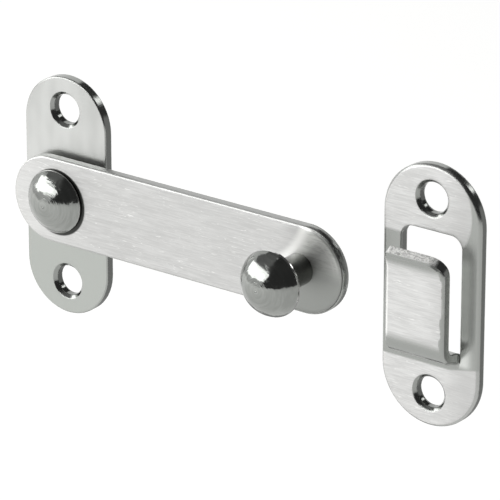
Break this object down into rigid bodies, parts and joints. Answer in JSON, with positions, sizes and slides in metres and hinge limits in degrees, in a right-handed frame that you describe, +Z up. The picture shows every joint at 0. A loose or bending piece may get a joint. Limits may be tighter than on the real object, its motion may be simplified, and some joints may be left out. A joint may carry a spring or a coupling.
{
  "type": "lever catch",
  "caption": "Flat lever on a riveted pivot plate with a turned knob, and a keeper plate with a lanced hook that the lever drops into.",
  "frame": {"origin": "on the wall plane, midway between the back plate's two screw holes, on the pivot's axis", "axes": "+X along the wall from the pivot to the keeper, +Y into the wall, +Z up"},
  "size_m": [0.0792, 0.0142, 0.0382],
  "materials": {
    "satin_steel": "smooth satin",
    "brushed_steel": "belt ground",
    "polished_steel": "turned and polished"
  },
  "bodies": {
    "base": {"back_plate": "satin_steel", "pivot_washer": "satin_steel", "pivot_rivet": "polished_steel", "keeper": "brushed_steel"},
    "lever": {"lever": "brushed_steel", "knob": "polished_steel"}
  },
  "joints": [
    {"name": "lever_turn", "type": "hinge", "parent": "base", "child": "lever", "pos_m": [0, 0, 0], "axis": [0, 1, 0], "continuous": true}
  ]
}
